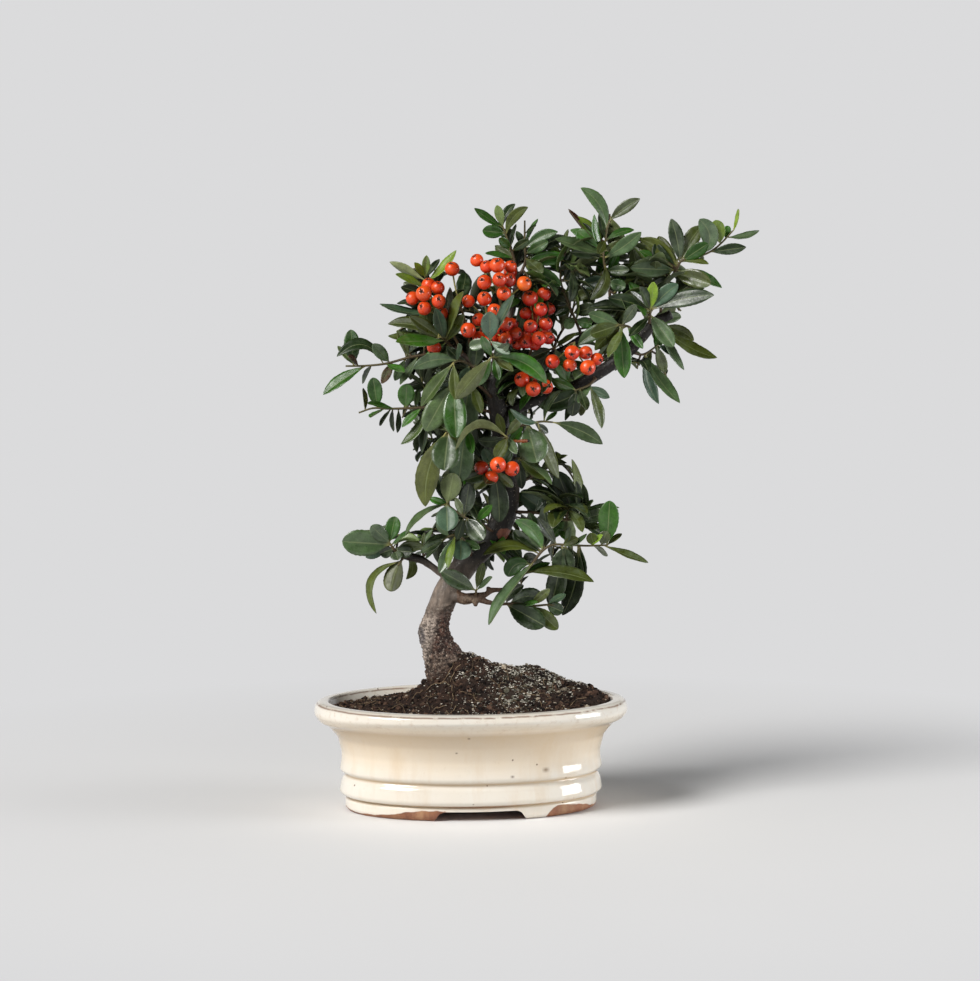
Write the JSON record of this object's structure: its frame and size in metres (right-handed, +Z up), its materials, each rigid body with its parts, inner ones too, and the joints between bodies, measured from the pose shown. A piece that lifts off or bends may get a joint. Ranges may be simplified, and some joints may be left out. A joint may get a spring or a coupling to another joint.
{
  "type": "potted bonsai tree",
  "caption": "Small berry-bearing bonsai tree with a curved leaning trunk and leafy sprays, in a low oval glazed pot with a broad flat lip, mounded soil and two wide feet.",
  "frame": {"origin": "middle of the bounding box of pot and tree seen from above, in the plane of the feet that it stands on; the pot's own middle lies 35.7 mm to the left of it", "axes": "+Z up; X along the pot's long side, +X to the right seen from the front; the front, with the berries, faces -Y"},
  "size_m": [0.2524, 0.1283, 0.3572],
  "materials": {
    "glazed_clay": "gloss",
    "potting_soil": "matte",
    "mesh_plastic": "matte",
    "bark": "matte",
    "leaf": "satin",
    "berry": "gloss"
  },
  "bodies": {
    "root": {"berries_crown_single": "berry", "berries_left_crown": "berry", "berries_middle_low": "berry", "berries_middle_right": "berry", "berries_middle_top": "berry", "berries_right": "berry", "berries_right_low": "berry", "berries_trunk_front": "berry", "drain_screen_left": "mesh_plastic", "drain_screen_right": "mesh_plastic", "pot": "glazed_clay", "soil": "potting_soil", "spray_back_crown_left": "leaf", "spray_back_crown_middle": "leaf", "spray_back_crown_right": "leaf", "spray_back_far_right": "leaf", "spray_back_heart": "leaf", "spray_back_left": "leaf", "spray_back_low": "leaf", "spray_back_right": "leaf", "spray_back_trunk": "leaf", "spray_front_arch": "leaf", "spray_front_dark": "leaf", "spray_front_high_left": "leaf", "spray_front_high_right": "leaf", "spray_front_low": "leaf", "spray_front_middle": "leaf", "spray_front_pale": "leaf", "spray_gnarl": "leaf", "spray_left_crown": "leaf", "spray_left_heart": "leaf", "spray_left_low": "leaf", "spray_left_low_twiglet": "leaf", "spray_left_low_under": "leaf", "spray_left_second": "leaf", "spray_left_upper": "leaf", "spray_low_middle": "leaf", "spray_middle_dark": "leaf", "spray_middle_round": "leaf", "spray_right_berry": "leaf", "spray_right_dark": "leaf", "spray_right_depth": "leaf", "spray_right_low": "leaf", "spray_right_middle": "leaf", "spray_right_olive": "leaf", "spray_right_round": "leaf", "spray_right_tip": "leaf", "spray_right_under": "leaf", "spray_right_whorl": "leaf", "spray_right_whorl_back": "leaf", "spray_right_yellow": "leaf", "spray_top": "leaf", "spray_top_middle": "leaf", "spray_top_middle_right": "leaf", "spray_upper_right_inner": "leaf", "trunk": "bark"}
  },
  "joints": []
}
